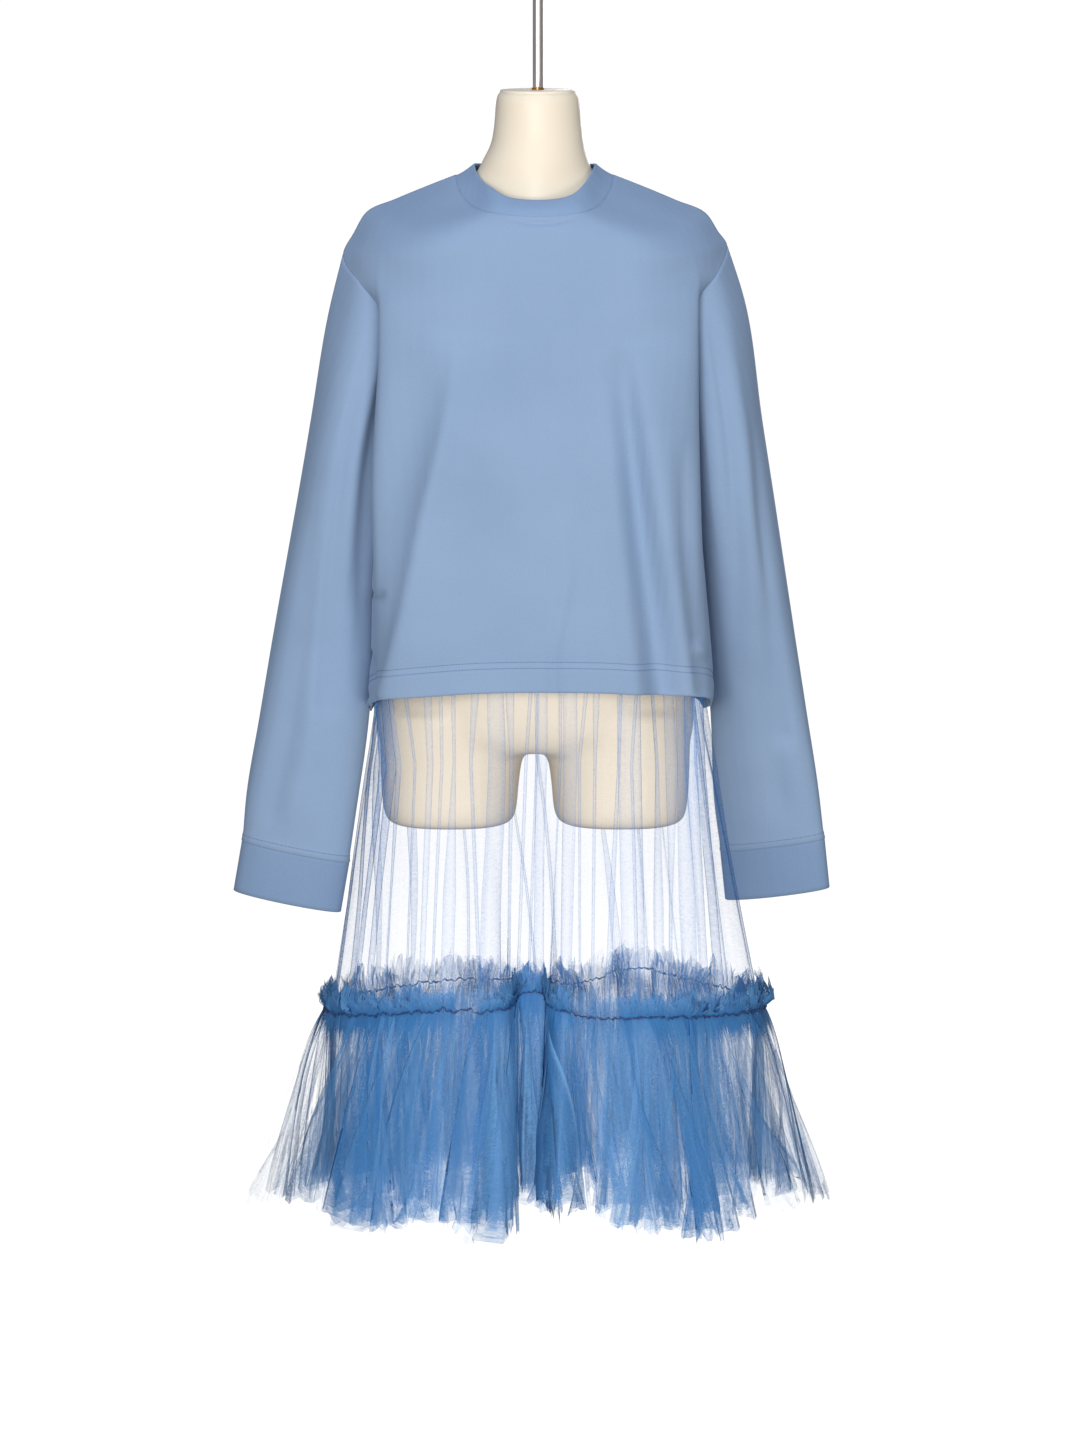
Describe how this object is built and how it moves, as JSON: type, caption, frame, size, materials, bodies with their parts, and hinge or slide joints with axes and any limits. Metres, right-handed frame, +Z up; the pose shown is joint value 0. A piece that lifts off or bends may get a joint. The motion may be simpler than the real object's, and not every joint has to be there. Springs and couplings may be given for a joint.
{
  "type": "long-sleeved jersey and tulle dress on a hanging torso form",
  "caption": "Loose long-sleeved crew-neck top with cuffs and a sheer gathered skirt with a flounced ruffle, on a smooth torso form hung from a rod.",
  "frame": {"origin": "top end of the rod that holds the torso form, on the rod's axis", "axes": "+Z up along the rod, -Y the front of the dress, +X the wearer's left"},
  "size_m": [0.6313, 0.3738, 1.3191],
  "materials": {
    "jersey": "matte blue cotton jersey",
    "jersey_doubled": "matte doubled blue jersey band",
    "tulle": "sheer blue tulle net",
    "form": "ivory satin display form",
    "rod": "polished steel",
    "ferrule": "polished brass"
  },
  "bodies": {
    "root": {"body_front": "jersey", "body_back": "jersey", "neck_rib": "jersey_doubled", "sleeve_right": "jersey", "sleeve_left": "jersey", "cuff_right": "jersey_doubled", "cuff_left": "jersey_doubled", "tulle_skirt": "tulle", "ruffle_outer": "tulle", "ruffle_inner": "tulle", "form_torso": "form", "form_cap": "form", "rod": "rod", "rod_ferrule": "ferrule"}
  },
  "joints": []
}
